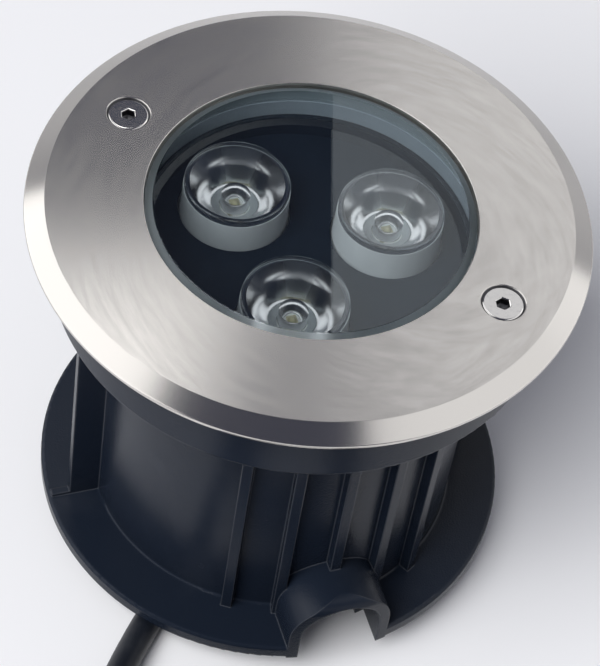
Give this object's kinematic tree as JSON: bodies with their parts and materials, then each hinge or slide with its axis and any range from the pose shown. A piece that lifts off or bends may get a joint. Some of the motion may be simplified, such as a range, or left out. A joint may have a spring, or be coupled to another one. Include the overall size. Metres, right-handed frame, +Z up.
{
  "type": "recessed ground light",
  "caption": "Round flush ground light: lensed lamp under glass and a bevelled steel ring, screwed into a ribbed plastic sleeve with cable arches, on a cable.",
  "frame": {"origin": "on the lamp's axis, at the foot of the sleeve", "axes": "+Z up through the glass, -Y out of the front cable arch"},
  "size_m": [0.1503, 0.1925, 0.0912],
  "materials": {
    "sleeve_plastic": "satin black moulded plastic",
    "insert_brass": "turned and knurled brass",
    "housing_aluminium": "die-cast aluminium, grey coat",
    "ring_steel": "stainless steel, brushed round the ring",
    "screw_steel": "stainless steel, machine finish",
    "cover_glass": "clear toughened glass",
    "lens_clear": "clear moulded acrylic",
    "holder_plastic": "milky moulded plastic",
    "bezel_black": "satin black",
    "gasket_silicone": "soft silicone",
    "board_white": "white solder mask on an aluminium core",
    "emitter_yellow": "phosphor under a clear dome",
    "heat_pad_grey": "soft heat-conducting sheet",
    "driver_potting": "potted block",
    "gland_nylon": "black nylon",
    "seal_rubber": "black rubber",
    "cable_rubber": "black rubber jacket",
    "tie_nylon": "black nylon strap",
    "core_brown": "brown insulation",
    "core_blue": "blue insulation",
    "lead_red": "red insulation",
    "lead_black": "black insulation",
    "tinned_copper": "tinned strands"
  },
  "bodies": {
    "sleeve": {"embedded_sleeve": "sleeve_plastic", "threaded_inserts": "insert_brass", "supply_cable": "cable_rubber", "cable_coil": "cable_rubber", "coil_tie": "tie_nylon", "core_brown": "core_brown", "core_blue": "core_blue", "core_tips": "tinned_copper"},
    "lamp": {"lamp_housing": "housing_aluminium", "heat_pad": "heat_pad_grey", "led_board": "board_white", "board_screws": "screw_steel", "bezel_plate": "bezel_black", "glass_gasket": "gasket_silicone", "cover_glass": "cover_glass", "lead_grommet": "seal_rubber", "led_lead_red": "lead_red", "led_lead_black": "lead_black", "driver_module": "driver_potting", "driver_screws": "screw_steel", "inner_core_brown": "core_brown", "inner_core_blue": "core_blue", "back_cover": "housing_aluminium", "back_cover_seal": "seal_rubber", "back_cover_screws": "screw_steel", "gland_body": "gland_nylon", "gland_washer": "seal_rubber", "gland_locknut": "gland_nylon", "gland_seal": "seal_rubber", "gland_nut": "gland_nylon", "cable_in_gland": "cable_rubber", "led_emitter_1": "emitter_yellow", "lens_holder_1": "holder_plastic", "tir_lens_1": "lens_clear", "led_emitter_2": "emitter_yellow", "lens_holder_2": "holder_plastic", "tir_lens_2": "lens_clear", "led_emitter_3": "emitter_yellow", "lens_holder_3": "holder_plastic", "tir_lens_3": "lens_clear"},
    "trim": {"trim_ring": "ring_steel"},
    "screw_1": {"cover_screw_1": "screw_steel"},
    "screw_2": {"cover_screw_2": "screw_steel"}
  },
  "joints": [
    {"name": "lamp_lift", "type": "slide", "parent": "sleeve", "child": "lamp", "axis": [0, 0, 1], "range_m": [0, 0.09]},
    {"name": "trim_ring_lift", "type": "slide", "parent": "lamp", "child": "trim", "axis": [0, 0, 1], "range_m": [0, 0.04]},
    {"name": "screw_1_turn", "type": "hinge", "parent": "trim", "child": "screw_1", "pos_m": [0.0283, -0.03035, 0.0912], "axis": [0, 0, 1], "continuous": true},
    {"name": "screw_2_turn", "type": "hinge", "parent": "trim", "child": "screw_2", "pos_m": [-0.0283, 0.03035, 0.0912], "axis": [0, 0, 1], "continuous": true}
  ]
}
